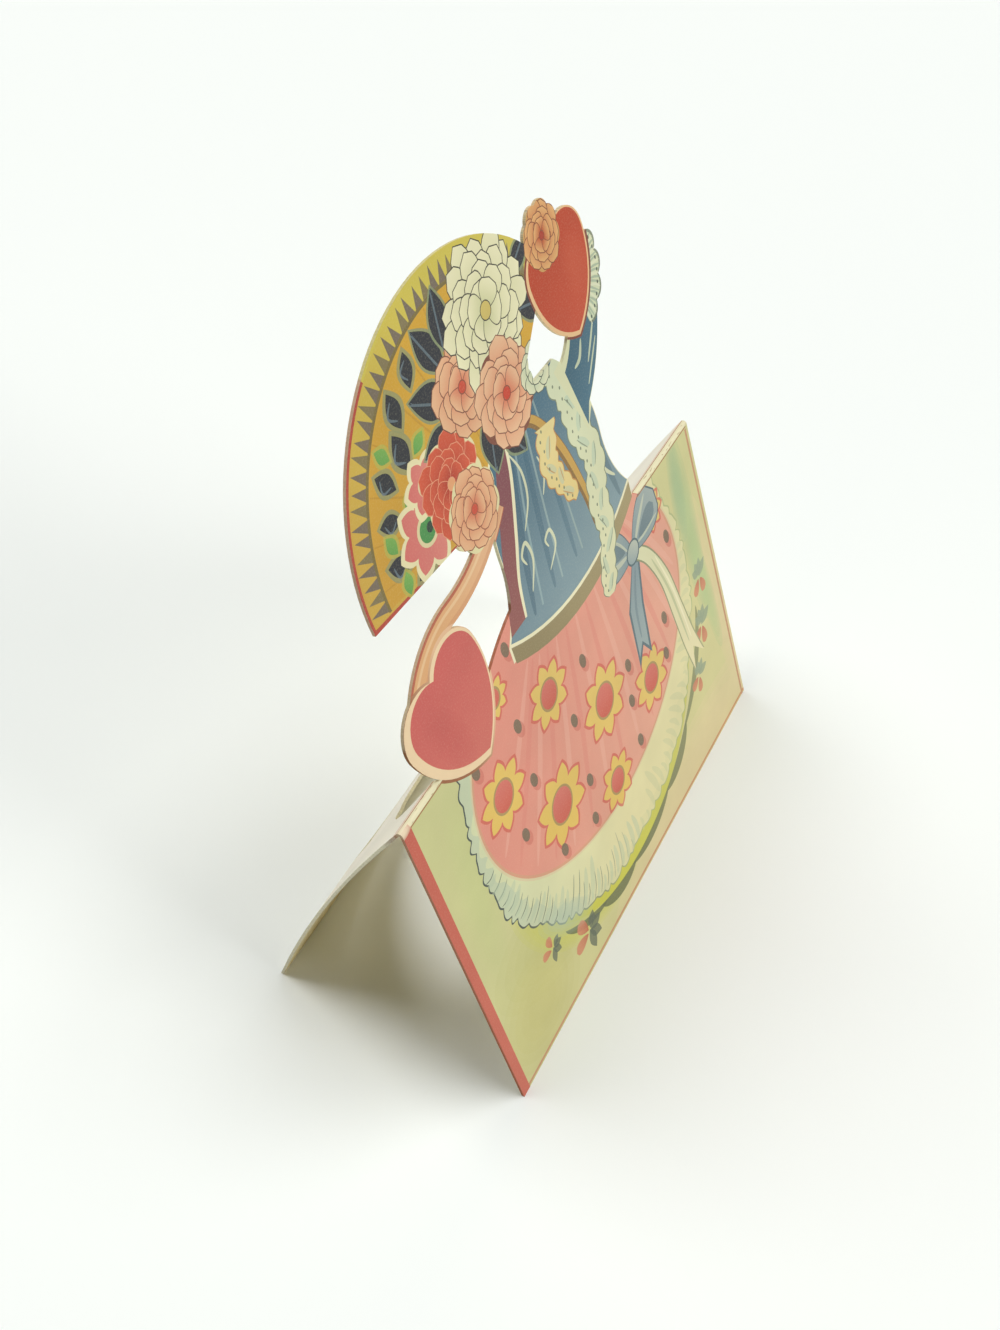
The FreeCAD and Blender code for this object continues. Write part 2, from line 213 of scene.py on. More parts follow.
def ellipse(at, reach, grow=0.0, turn=0.0, steps=96):
    """An ellipse leaning by turn degrees."""
    lean = math.radians(turn)
    loop = []
    for step in range(steps):
        across, along = on_ellipse((0, 0), reach, 360 * step / steps, grow)
        x = at[0] + across * math.cos(lean) - along * math.sin(lean)
        loop.append((x, at[1] + across * math.sin(lean) + along * math.cos(lean)))
    return loop


ink(GROUND, block(-BLEED, -BLEED, WIDTH + BLEED, FRONT_RUN + 0.3), "#d2cb92", ((20, 55), (60, 0)))
# Painted glare: pale warm washes at the bottom right and down the right edge.
wash(GROUND_GLARE, ellipse((66, 2), (34, 9), turn=6, steps=40), 0.9)
wash(GROUND_GLARE, ellipse((88, 22), (3.4, 26), turn=4, steps=40), 0.8)
wash("#bdbb74", ellipse((19, 17), (17, 9), turn=-12, steps=40), 0.6)
wash("#c3bc76", ellipse((11, 9), (12, 10), steps=40), 0.65)
wash("#c2cb88", ellipse((8.0, 40), (4.0, 18), turn=-6, steps=40), 0.4)
for at, reach, turn, colour in (
    ((83.6, 43), (3.0, 19), -2, "#a9bd8a"),
    ((84.6, 30), (2.2, 15), 4, "#b4c58c"),
    ((82.4, 52), (2.4, 10), -6, "#a3b98c"),
):
    wash(colour, ellipse(at, reach, turn=turn, steps=36), 0.75)
ink(RULE_BROWN, block(0, 0.3, WIDTH, 0.85), "#c98f63", ((0, 0), (WIDTH, 0)))
ink(RULE_BROWN, block(88.8, 0, 89.35, FRONT_RUN - 0.5))
ink(RULE_RED, block(-BLEED, -BLEED, 1.9, FRONT_RUN + 0.2), "#c76a58", ((0, 60), (0, 0)))
ink(RULE_RED, block(-BLEED, FRONT_RUN - 0.3, 1.8, FRONT_RUN + 0.55), leg=True)


# Round tablecloth: a pink field seen at a slant, with yellow daisies and dark dots, and a
# gathered cream ruffle round it. A yellow-green and a dark crescent shade it on the ground.

CLOTH_AT = (45.2, 44.5)
CLOTH_REACH = (32.75, 25.5)
RUFFLE_AT = (44.8, 42.2)
RUFFLE_REACH = (35.3, 35.0)
CLOTH_TOP = 69.6
PINK = "#dd907e"
PINK_GLARED = "#e0a48c"
PINK_LINE = "#d2705e"


def crescent(at, reach, start, end, inner, outer, steps=40):
    """A sickle between two turns, inner to outer millimetres outside an ellipse at its middle."""
    near, far = [], []
    for step in range(steps + 1):
        share = step / steps
        turn = start + (end - start) * share
        swell = math.sin(math.pi * share) ** 0.6
        near.append(on_ellipse(at, reach, turn, inner))
        far.append(on_ellipse(at, reach, turn, inner + 0.02 + (outer - inner) * swell))
    return far + near[::-1]


def gathered(at, reach, folds, depth, grow=0.0, steps=8):
    """An ellipse with the uneven scallops of a gathered edge. It closes at the top."""
    loop = []
    for step in range(folds * steps):
        share = step / steps
        uneven = share + 0.2 * math.sin(1.9 * share) + 0.1 * math.sin(4.3 * share)
        wave = abs(math.sin(math.pi * uneven)) * (0.7 + 0.3 * math.sin(1.13 * share))
        drift = 0.6 * math.sin(0.61 * share) + 0.4 * math.sin(0.29 * share) + 0.3 * math.sin(2.3 * share)
        out = grow + depth * (wave - 0.5) + 0.5 * depth * drift
        loop.append(on_ellipse(at, reach, 90 + 360 * share / folds, out))
    return loop


def petalled(at, radius, petals, depth, turn=0.0, steps=10, pointed=False):
    """A flower outline: round or pointed petals that reach radius, with notches depth of it in."""
    loop = []
    for step in range(petals * steps):
        share = step / steps
        if pointed:
            reach = (1 - abs(2 * (share % 1) - 1)) ** 0.75
        else:
            reach = abs(math.sin(math.pi * share)) ** 0.8
        out = radius * (1 - depth * (1 - reach))
        loop.append(on_ellipse(at, (out, out), turn + 360 * share / petals))
    return loop


def curve(points, steps=8):
    """A smooth line through points."""
    line = []
    ends = [points[0]] + list(points) + [points[-1]]
    for before, start, end, after in zip(ends, ends[1:], ends[2:], ends[3:]):
        for step in range(steps):
            t = step / steps
            place = []
            for a, b, c, d in zip(before, start, end, after):
                bend_in = (2 * a - 5 * b + 4 * c - d) * t**2 + (3 * b - a - 3 * c + d) * t**3
                place.append(0.5 * (2 * b + (c - a) * t + bend_in))
            line.append(tuple(place))
    return line + [tuple(points[-1])]


def beside(line, place, offset):
    """The place offset millimetres to the left of a line's point."""
    x0, s0 = line[max(place - 1, 0)]
    x1, s1 = line[min(place + 1, len(line) - 1)]
    run = math.hypot(x1 - x0, s1 - s0) or 1.0
    x, s = line[place]
    return (x - (s1 - s0) / run * offset, s + (x1 - x0) / run * offset)


def stroke(points, width, end_width=None, steps=8):
    """A brush line through points, with a width at its middle that tapers to its ends."""
    line = curve(points, steps)
    end_width = width * 0.25 if end_width is None else end_width
    left, right = [], []
    for place in range(len(line)):
        swell = math.sin(math.pi * place / (len(line) - 1)) ** 0.7
        half = (end_width + (width - end_width) * swell) / 2
        left.append(beside(line, place, half))
        right.append(beside(line, place, -half))
    return left + right[::-1]


def petal(at, turn, inner, outer, width, steps=10):
    """A rounded petal from inner to outer millimetres from the flower's heart."""
    way, loop = math.radians(turn), []
    for side in (1, -1):
        for step in range(steps):
            part = step / steps if side > 0 else 1 - step / steps
            along = inner + (outer - inner) * part
            across = side * width / 2 * math.sin(math.pi * max(1 - part, 0) ** 0.62) ** 0.75
            x = at[0] + along * math.cos(way) + across * math.sin(way)
            loop.append((x, at[1] + along * math.sin(way) - across * math.cos(way)))
    return loop


def leaf(at, length, width, turn, steps=12):
    """A pointed leaf."""
    lean = math.radians(turn)
    loop = []
    for step in range(2 * steps):
        share = step / steps - 1
        along = length * (0.5 - abs(share))
        across = math.copysign(width / 2 * math.sin(math.pi * abs(share)), -share)
        x = at[0] + along * math.cos(lean) - across * math.sin(lean)
        loop.append((x, at[1] + along * math.sin(lean) + across * math.cos(lean)))
    return loop


wash("#c9c85c", crescent(RUFFLE_AT, RUFFLE_REACH, 190, 290, -4.0, 5.4, 24), 0.68, 0.8)
ink("#cbc84c", crescent(RUFFLE_AT, RUFFLE_REACH, 214, 334, -2.0, 2.5), "#c8c46e", ((40, 6), (74, 22)))
for start, end, reach in (
    (231, 252, 3.5), (249, 268, 4.3), (266, 291, 3.8), (289, 309, 4.4), (306, 340, 3.8),
):
    band = crescent(RUFFLE_AT, RUFFLE_REACH, start, end, 2.0, reach)
    ink("#686e4c", band, "#8a8c64", ((44, 4), (78, 24)), cover=0.9)
for turn, out, grown in (
    (243, 4.6, 1.5), (321, 5.0, 1.1), (334, 4.6, 1.3), (347, 4.2, 1.2), (226, 4.0, 1.0),
):
    at = on_ellipse(RUFFLE_AT, RUFFLE_REACH, turn, out)
    for blade in range(4):
        way = turn + 38 + 41 * blade + 9 * math.sin(turn + blade)
        tip = on_ellipse(at, (1.3 * grown, 1.3 * grown), way)
        green = "#5f6859" if turn < 300 else "#93a085"
        ink(green, leaf(tip, (3.1 - 0.35 * blade) * grown, 1.4 * grown, way), cover=0.85)
    for number in (0, 1):
        way = turn - 64 - 58 * number
        tip = on_ellipse(at, (2.2 * grown, 2.2 * grown), way)
        ink("#b4543e", petal(at, way, 0.6, 3.2 * grown, 1.6 * grown), "#cd8464", (at, tip), cover=0.9)
ink("#4d5650", gathered(RUFFLE_AT, RUFFLE_REACH, 74, 1.1, 0.32), "#b3b884", ((12, 24), (50, 14)))
ink("#c3ccab", gathered(RUFFLE_AT, RUFFLE_REACH, 74, 1.1), "#dcd5a3", ((11, 22), (46, 16)))
inner_folds = gathered(RUFFLE_AT, RUFFLE_REACH, 52, 1.7, -2.2)
ink("#d5d8ab", inner_folds, "#e1d8a6", ((10, 24), (44, 22)), cover=0.85)
wash("#a4baac", ellipse((22.6, 15.4), (8.6, 3.0), turn=-40, steps=36), 0.5)
for fold in range(150):
    turn = 186 + 1.18 * fold + 0.5 * math.sin(fold * 2.3)
    chance = 0.5 + 0.5 * math.sin(fold * 12.9898) * math.cos(fold * 4.1)
    depth = 2.0 + 6.5 * chance * min(1, abs(math.sin(math.radians(turn))) + 0.1)
    line = []
    for part, bent in ((0.02, 0), (0.5, 0.7), (1, 0)):
        way = turn + (1.6 * chance - 0.8) * (1 - part) + bent
        line.append(on_ellipse(RUFFLE_AT, RUFFLE_REACH, way, -depth * part))
    if turn < 270 and fold % 3 == 0:
        ink("#5d6a60", stroke(line, 0.24, 0.05, 4), cover=0.8 - 0.5 * max(turn - 240, 0) / 30)
    elif fold % 3 == 1:
        ink("#b4c3a6" if turn < 275 else "#c8c99c", stroke(line, 0.6 + 0.9 * chance, 0.1, 4), cover=0.45)
ink("#d8c39c", ellipse(CLOTH_AT, CLOTH_REACH, 0.5), cover=0.7)
ink(PINK_LINE, ellipse(CLOTH_AT, CLOTH_REACH, 0.12), cover=0.6)
# The pink pales towards the lower right; that paling is painted glare.
ink(PINK, ellipse(CLOTH_AT, CLOTH_REACH, -0.35), PINK_GLARED, ((26, 54), (66, 24)))


def cloth_crown(radius, steps=60):
    """The cloth's own top edge over the crease, between its meetings with the round edge."""
    at = (CLOTH_AT[0], CLOTH_TOP - radius)
    return [on_ellipse(at, (radius, radius), 180 * step / steps) for step in range(13, steps - 12)]


ink(PINK_LINE, cloth_crown(38.0) + [(24, 50), (66, 50)])
ink(PINK, cloth_crown(37.6) + [(24, 46), (66, 46)], PINK_GLARED, ((26, 54), (66, 24)))
for fold in range(15):
    turn = 196 + 11.2 * fold
    line = [on_ellipse((49, 60), (16, 4), turn), on_ellipse((47, 52), (24, 14), turn + 2)]
    line.append(on_ellipse(CLOTH_AT, CLOTH_REACH, turn, -1.6))
    ink("#d97f72" if fold % 2 else "#e8b4a0", stroke(line, 1.3, 0.2, 10), cover=0.35)


def daisy(at, radius, turn, eye=0.4):
    """Yellow daisy on the cloth, with a red outline and a red eye."""
    ink("#cf6453", petalled(at, radius + 0.55, 8, 0.3, turn, pointed=True), cover=0.85)
    ink("#e0bb58", petalled(at, radius, 8, 0.36, turn, pointed=True), "#dfc273", ((20, 20), (60, 60)))
    reach = (radius * eye, radius * eye * 1.1)
    ink("#a1865a", ellipse(at, reach, 0.38, steps=28), cover=0.85)
    lit = ((at[0], at[1] - 2), (at[0], at[1] + 2))
    ink("#c9604f", ellipse(at, reach, steps=28), "#d17366", lit)


for at, radius, turn in (
    ((19.4, 46.2), 5.6, 10),
    ((30.4, 32.6), 6.7, 40),
    ((35.6, 50.4), 5.2, 24),
    ((47.8, 37.6), 6.4, 60),
    ((45.0, 22.6), 4.9, 15),
    ((61.6, 29.6), 5.5, 33),
    ((73.4, 54.4), 3.4, 12),
    ((24.4, 60.2), 3.2, 18),
):
    daisy(at, radius, turn)
for x, s in (
    (26.4, 42.2), (27.0, 52.4), (20.8, 36.6), (38.4, 29.6), (39.2, 41.6), (54.6, 31.0), (36.8, 22.6),
    (45.4, 48.0), (56.2, 37.2), (54.0, 22.8), (69.6, 35.6), (67.6, 29.6), (27.6, 25.6), (76.0, 47.4),
    (29.8, 64.2), (38.3, 66.0), (16.0, 54.4),
):
    ink("#c96a5c", ellipse((x + 0.3, s - 0.8), (1.0, 1.7), turn=16, steps=14), cover=0.55)
    ink("#716853", ellipse((x, s), (0.85, 1.35), turn=12, steps=14), cover=0.9)


# Ribbon ends: a blue-grey bow of the urn's ribbon and a cream tail lie over the cloth.

BOW_END = ((64.6, 51), (60.8, 44.4), (60.0, 35.4), (61.8, 37.4), (63.4, 35.0), (64.4, 43), (66.2, 50))
BOW_EDGE = ((64.4, 51), (60.2, 44.4), (59.4, 33.6), (61.8, 36.6), (63.8, 33.4), (65.0, 43), (66.8, 50))
ink("#5f7278", list(BOW_EDGE))
ink("#84959a", list(BOW_END), "#9caaa8", ((65, 50), (61, 35)))
ink("#6c7f85", stroke([(65.2, 50), (62.6, 44), (61.9, 38)], 0.7, 0.15), cover=0.6)
KNOT = (65.6, 52.4)
TAIL_FALL = [KNOT, (69.4, 48.6), (72.6, 41.8), (74.2, 33.6), (75.6, 26.0), (77.4, 19.4)]
fall = curve(TAIL_FALL, 6)
for grown, colour, shade in ((0.3, "#8f9270", "#a8a67c"), (0.0, "#d6d4ac", "#e4d9ac")):
    sides = []
    for side in (1, -1):
        half = [side * (0.9 + 1.25 * place / len(fall) + grown) for place in range(len(fall))]
        sides.append([beside(fall, place, offset) for place, offset in enumerate(half)])
    notch = beside(fall, len(fall) - 5, 0)
    ink(colour, sides[0] + [notch] + sides[1][::-1], shade, (fall[4], fall[-1]))
ink("#b5b98e", stroke([(70.2, 47.4), (73.2, 38.4), (75.4, 25.4)], 0.6, 0.15), cover=0.75)
ink("#f0e8c6", stroke([(71.4, 47.0), (74.4, 37.4), (76.4, 25.6)], 0.5, 0.12), cover=0.7)
for way, length in ((152, 9.4), (26, 10.8)):
    ink("#566a70", petal(KNOT, way, -0.2, length + 0.3, 8.4))
    far = on_ellipse(KNOT, (length, length), way)
    ink("#7e9095", petal(KNOT, way, 0, length, 7.9), "#a2ada8", (KNOT, far))
    ink("#5d7077", petal(KNOT, way - 8, 2.6, length - 1.4, 3.2), "#71848a", (KNOT, far), cover=0.85)
    for side, width in ((17, 0.9), (-24, 0.5)):
        reaches = ((1.8, 0.5), (4.6, 0.95), (length - 1.6, 0.9))
        fold = [on_ellipse(KNOT, (reach, reach), way + side * bent) for reach, bent in reaches]
        ink("#d2d4b6", stroke(fold, width, 0.15, 5), cover=0.6)
ink("#566a70", ellipse(KNOT, (2.3, 2.0), turn=30, steps=20))
ink("#93a2a2", ellipse(KNOT, (1.95, 1.65), turn=30, steps=20), "#b3b9aa", ((64.6, 51), (66.6, 53.6)))


# Folding fan: the gold field behind the flowers, with ribs from its rivet, a zigzag border
# under the rim, dark leaves and pink blossoms, and a red rule round its outer left edge.

FAN_AT = (38.5, 86.6)
PIVOT = (40.0, 82.4)
GOLD = "#cfa136"


def to_rim(turn, radius):
    """The place on a circle round the fan's middle that the rivet sees in a direction."""
    way = (math.cos(math.radians(turn)), math.sin(math.radians(turn)))
    away = (PIVOT[0] - FAN_AT[0], PIVOT[1] - FAN_AT[1])
    along = away[0] * way[0] + away[1] * way[1]
    reach = math.sqrt(along**2 - (away[0] ** 2 + away[1] ** 2 - radius**2)) - along
    return (PIVOT[0] + reach * way[0], PIVOT[1] + reach * way[1])


def fan_sector(radius, start, end, steps=60):
    return [PIVOT] + [to_rim(start + (end - start) * step / steps, radius) for step in range(steps + 1)]


def fan_band(inner, outer, start, end, steps=60):
    turns = [start + (end - start) * step / steps for step in range(steps + 1)]
    return [to_rim(turn, outer) for turn in turns] + [to_rim(turn, inner) for turn in turns[::-1]]


ink("#cdbd52", fan_sector(31.0, 30, 178))
ink("#b0493c", fan_sector(31.0, 122, 178))
ink("#cdbd52", fan_sector(28.95, 36, 174.4), "#c9a446", ((34, 114), (12, 96)))
TEETH = 38
for tooth in range(TEETH):
    start, step = 40 + 133.6 * tooth / TEETH, 133.6 / TEETH
    peak = start + step * (0.5 + 0.12 * math.sin(tooth * 2.7))
    base = [to_rim(start + step * part, 25.7) for part in (0.04, 0.96)]
    ink("#75695a" if tooth % 3 else "#807452", base + [to_rim(peak, 28.7 + 0.2 * math.sin(tooth * 1.9))])
ink("#7a6c40", fan_band(25.3, 25.85, 38, 173.8))
ink(GOLD, fan_sector(25.35, 38, 173.4), "#c99a3a", ((30, 110), (14, 88)))
for rib in range(11):
    x, s = to_rim(50 + 11.8 * rib, 25.2)
    halfway = ((x + PIVOT[0]) / 2, (s + PIVOT[1]) / 2)
    ink("#b88a32", stroke([PIVOT, halfway, (x, s)], 0.3, 0.2, 2), cover=0.6)
for turn, radius, size, way in (
    (132, 19.6, 1.0, 100), (141, 22.2, 0.8, 128), (123, 22.4, 0.9, 96), (151.5, 21.6, 0.75, 160),
    (164.5, 21.4, 0.85, 150), (170.5, 16.6, 0.95, 196), (112, 22.6, 0.8, 80), (58, 21.6, 0.9, 40),
    (70, 22.4, 0.7, 70),
):
    x, s = to_rim(turn, radius)
    ink("#8f9468", leaf((x, s), 7.2 * size, 4.6 * size, way), cover=0.85)
    ink("#2d2f34", leaf((x, s), 5.6 * size, 3.1 * size, way))
    vein = [on_ellipse((x, s), (1.5 * size, 1.5 * size), way + side) for side in (180, 90, 0)]
    ink("#6f8088", stroke(vein, 0.4 * size), cover=0.7)
for turn, radius, way in (
    (146, 17.6, 60), (157.6, 22.0, 110), (126.6, 16.6, 30), (171, 21.0, 80), (134.6, 23.2, 130),
):
    x, s = to_rim(turn, radius)
    ink("#b5b052", leaf((x, s), 4.2, 2.9, way), cover=0.8)
    ink("#5f9a4e", leaf((x, s), 3.2, 1.9, way), "#7fae55", ((x - 1, s - 1), (x + 1, s + 1)))
for turn, radius, size, petals in ((157.4, 14.8, 5.6, 7), (140, 14.4, 3.6, 6)):
    x, s = to_rim(turn, radius)
    ink("#e6dcae", petalled((x, s), size + 0.9, petals, 0.28, turn, pointed=True))
    lit = ((x - size, s), (x + size, s))
    ink("#d06e68", petalled((x, s), size, petals, 0.32, turn, pointed=True), "#db8a7c", lit)
    ink("#dccfa0", ellipse((x, s), (size * 0.4, size * 0.4), steps=24))
    ink("#4c8f4e", ellipse((x, s), (size * 0.3, size * 0.3), steps=24))
    ink("#2c4034", ellipse((x + 0.1 * size, s), (size * 0.13, size * 0.13), steps=16))


# Urn: a fluted blue pot with a flared foot, grounded by a brown band, with a maroon shaded
# side, a gold lip and cream scrolls. A lace runner hangs from its mouth.

URN_X = 50.2
URN_LEVELS = ((19.1, 60.8), (19.1, 63.5), (15.2, 75.5), (8.5, 91.0))
URN_CURVES = (None, -17.0, 21.0)
FOOT_BOW = 40
BLUE = "#41677b"
BLUE_GLARED = "#83999f"
MAROON = "#7a4650"


def bow(start, end, radius, steps=14):
    """An arc on from start, short of end. A positive radius bows it to the right of the way."""
    dx, ds = end[0] - start[0], end[1] - start[1]
    chord = math.hypot(dx, ds)
    side = 1 if radius > 0 else -1
    back = side * math.sqrt(max(radius**2 - chord**2 / 4, 0)) / chord
    middle = ((start[0] + end[0]) / 2 - back * ds, (start[1] + end[1]) / 2 + back * dx)
    first = math.atan2(start[1] - middle[1], start[0] - middle[0])
    last = math.atan2(end[1] - middle[1], end[0] - middle[0])
    sweep = ((last - first) * side) % (2 * math.pi) * side
    reach = (abs(radius), abs(radius))
    turns = [math.degrees(first + sweep * step / steps) for step in range(steps)]
    return [on_ellipse(middle, reach, turn) for turn in turns]


def outline(corners, curves):
    """A closed outline through corners, with a curve radius or None for each side."""
    loop = []
    for place, bend_radius in enumerate(curves):
        start, end = corners[place], corners[(place + 1) % len(corners)]
        loop += [start] if bend_radius is None else bow(start, end, bend_radius)
    return loop


def urn_outline(inside):
    east = [(URN_X + half - inside, s) for half, s in URN_LEVELS]
    west = [(URN_X - half + inside, s) for half, s in URN_LEVELS]
    return outline(east + west[::-1], [*URN_CURVES, None, *URN_CURVES[::-1], None])


def on_urn(share, s):
    """A place on the urn, share of its half width to the right of its middle."""
    for (half_0, s_0), (half_1, s_1) in zip(URN_LEVELS, URN_LEVELS[1:]):
        if s <= s_1:
            break
    half = half_0 + (half_1 - half_0) * (s - s_0) / (s_1 - s_0)
    return (URN_X + share * half, s)


ink(CREAM, urn_outline(-0.4))
# The blue pales towards the bottom; that paling is painted glare.
URN_LIT = ((47, 90), (56, 61))
ink(BLUE, urn_outline(0.15), BLUE_GLARED, URN_LIT)
ink(BLUE, outline([(31.3, 62.8), (69.1, 62.8)], [FOOT_BOW, None]), BLUE_GLARED, URN_LIT)
for share, colour, width, cover in (
    (-0.62, "#34566a", 1.6, 0.5), (-0.5, "#9fb5b4", 0.5, 0.6), (-0.3, "#3a5f72", 1.3, 0.45),
    (-0.18, "#a7bab4", 0.45, 0.55), (0.06, "#3f6476", 1.2, 0.45), (0.16, "#a9bab0", 0.4, 0.5),
    (0.84, "#4a6672", 1.6, 0.5),
):
    ink(colour, stroke([on_urn(share, s) for s in (63, 68, 75.5, 83, 90)], width, 0.4), cover=cover)
band_curves = [FOOT_BOW, None, -FOOT_BOW, None]
band = outline([(31.2, 60.4), (69.2, 60.4), (69.2, 63.2), (31.2, 63.2)], band_curves)
ink("#8f815c", band, "#a3946c", ((34, 61), (66, 61)))
ink(CREAM, outline([(31.2, 63.2), (69.2, 63.2), (69.2, 63.8), (31.2, 63.8)], band_curves))
SHADED = (
    (-0.97, 64.4), (-0.74, 64.4), (-0.76, 70), (-0.7, 76), (-0.66, 84), (-0.78, 91), (-0.99, 91),
    (-0.99, 84), (-0.97, 76), (-0.97, 70),
)
ink(MAROON, [on_urn(share, s) for share, s in SHADED], "#935a54", ((40, 90), (34, 62)))
ink(CREAM, stroke([on_urn(share, s) for share, s in SHADED[1:6]], 0.75, 0.5))
for line, width in (
    ([(39.4, 66.4), (41.6, 70.4), (41.0, 73.6), (39.4, 72.4), (40.0, 70.6)], 0.6),
    ([(41.8, 75.0), (44.4, 78.4), (44.8, 82.6), (43.2, 86.4)], 0.5),
    ([(44.6, 66.0), (47.4, 68.4), (47.0, 71.2), (45.4, 70.6), (45.8, 69.2)], 0.55),
    ([(48.0, 76.4), (49.6, 79.2), (49.0, 82.0)], 0.45),
    ([(62.6, 71.6), (64.4, 68.6), (66.2, 66.6)], 0.6),
):
    ink("#d9dab6", stroke(line, width, 0.15), cover=0.9)
ink("#8a6a3c", stroke([(44.6, 89.0), (50.4, 86.6), (54.8, 79.4), (57.6, 70.0), (58.4, 63.6)], 2.0, 1.1))
ink("#c49c50", stroke([(44.6, 89.2), (50.5, 86.9), (55.0, 79.6), (57.9, 70.0), (58.6, 63.8)], 1.2, 0.7))


def lace(points, width, edge, colour, shade):
    """A band of lace that falls along a line: scalloped sides, soft folds and rows of eyelets."""
    line = curve(points, 12)
    sides = {}
    for grown in (0.2, 0.0):
        for side in (1, -1):
            sides[side] = []
            for place in range(len(line)):
                scallop = 0.75 * abs(math.sin(place * 0.5 + side)) + 0.4 * math.sin(place * 0.17 + side)
                taper = (1 - 0.35 * place / len(line)) * min(1, 0.35 + 0.12 * (len(line) - 1 - place))
                half = (width / 2 - 0.4 + scallop) * taper + grown
                sides[side].append(beside(line, place, side * half))
        loop = sides[1] + sides[-1][::-1]
        if grown:
            ink(edge, loop)
        else:
            ink(colour, loop, shade, (line[0], line[-1]))
    for place in range(5, len(line) - 8, 7):
        half = width / 2 if place % 2 else -width / 2
        fold = [beside(line, place + step, (0.42 - 0.09 * step) * half) for step in range(0, 8, 2)]
        ink("#a9c2b0", stroke(fold, 1.3, 0.2, 4), cover=0.45)
        drawn = [beside(line, place + step, (0.5 - 0.07 * step) * half) for step in range(0, 7, 2)]
        ink(edge, stroke(drawn, 0.2, 0.06, 4), cover=0.8)
    for place in range(2, len(line) - 2, 3):
        row = 0.62 if place % 2 else 0.36
        at = beside(line, place, -row * width / 2 * (1 - 0.4 * place / len(line)))
        ink("#66725c", ellipse(at, (0.2, 0.27), steps=8), cover=0.85)


SHORT_FALL = ((52.4, 84.6), (51.6, 79.4), (53.2, 75.0), (55.6, 70.6))
LONG_FALL = (
    (57.4, 90.6), (60.2, 85.0), (60.4, 79.0), (61.8, 73.0), (60.6, 67.0), (60.8, 61.0), (58.0, 55.4),
    (57.2, 51.0),
)
lace(SHORT_FALL, 4.6, "#c08848", "#e2d193", "#e0c884")
lace(LONG_FALL, 6.2, "#7d866c", "#cfd6b4", "#dddab0")


# Narrow ribbon: a peach ribbon that hangs from the urn in an S to the lower heart.

RIBBON_BEND = (22.5, 77.15)
HANG, DROP = 23.1, 14.5
drop_at = (RIBBON_BEND[0], RIBBON_BEND[1] - DROP)
hang_at = (RIBBON_BEND[0], RIBBON_BEND[1] + HANG)
ribbon = [on_ellipse(drop_at, (DROP, DROP), 156 - 2.75 * step) for step in range(25)]
ribbon += [on_ellipse(hang_at, (HANG, HANG), -90 + 1.7 * step) for step in range(1, 25)]


def along(line, left, right):
    """A band between two distances to the left and the right of a line."""
    near = [beside(line, place, left) for place in range(len(line))]
    return near + [beside(line, place, -right) for place in range(len(line))][::-1]


ink("#b4644b", along(ribbon, 2.2, 2.3))
ink("#dba775", along(ribbon, 1.3, 2.1), "#deb086", ((20, 76), (32, 80)))
ink("#c98a62", along(ribbon, -1.0, 1.8), cover=0.45)
ink("#ead0a4", along(ribbon, 0.7, -0.2), cover=0.5)


# Wide sash: a blue sash that comes out of the urn's mouth and runs up behind the ruffle.

SASH_LOW = (64.6, 80.3)
SASH_RUN, SASH_WIDTH, SASH_TURN = 12.5, 8.4, 52.4
SASH_CURVES = (None, 24, None, -10, None)
high_x, high_s = on_ellipse(SASH_LOW, (SASH_RUN, SASH_RUN), SASH_TURN)
back_x, back_s = on_ellipse((high_x, high_s), (SASH_WIDTH, SASH_WIDTH), SASH_TURN + 90)
hem = [(62.6, 77.0), (65.0, 79.8), (high_x + 0.6, high_s - 0.2), (back_x, back_s + 0.5), (58.0, 89.2)]
ink("#d5d6ae", outline(hem, SASH_CURVES))
sash = [(63.0, 77.6), (64.5, 80.4), (high_x, high_s), (back_x - 0.2, back_s - 0.2), (60.6, 87.6)]
ink("#3b6072", outline(sash, SASH_CURVES), "#4f7384", ((64, 90), (72, 84)))
for line, width in (
    ([(63.2, 86.6), (65.0, 87.2), (66.4, 89.4)], 0.7),
    ([(66.8, 85.4), (69.0, 88.0), (70.4, 89.8)], 0.5),
    ([(65.6, 82.6), (67.8, 85.0), (70.2, 87.6)], 0.4),
):
    ink("#cbd3b2", stroke(line, width, 0.15), cover=0.85)


# Bouquet: full blossoms in cream, coral and peach with dark leaves fill the urn's mouth and
# stand in front of the fan. Their petals have drawn edges and blush towards the heart.


def blossom(at, radius, petals, rings, tip, base, line, eye, turn=0.0, weight=0.14):
    """A full flower: rings of petals laid from the outside in, each with a drawn edge."""
    for ring in range(rings):
        reach = radius * (1 - 0.8 * ring / rings)
        count = petals - ring * (petals // 6 + 1)
        width = 2.5 * math.pi * reach / count * 0.8
        for number in range(count):
            way = turn + 31 * ring + 360 * (number + 0.15 * math.sin(number * 2.3 + ring)) / count
            far = reach * (1 + 0.07 * math.sin(number * 3.7 + ring))
            ink(line, petal(at, way, -weight, far + weight, width + 2 * weight))
            ends = [on_ellipse(at, (out, out), way) for out in (far, far * 0.2)]
            ink(tip, petal(at, way, 0, far, width), base, ends)
    ink(line, ellipse(at, (radius * 0.12, radius * 0.12), weight, steps=16))
    ink(eye, ellipse(at, (radius * 0.12, radius * 0.12), steps=16))


def scalloped(at, radius, petals=8, bulge=0.62):
    """The die-cut outline of a blossom: round petals side by side."""
    corners = [on_ellipse(at, (radius, radius), 360 / petals * number) for number in range(petals)]
    return outline(corners, [bulge * 2 * radius * math.sin(math.pi / petals)] * petals)


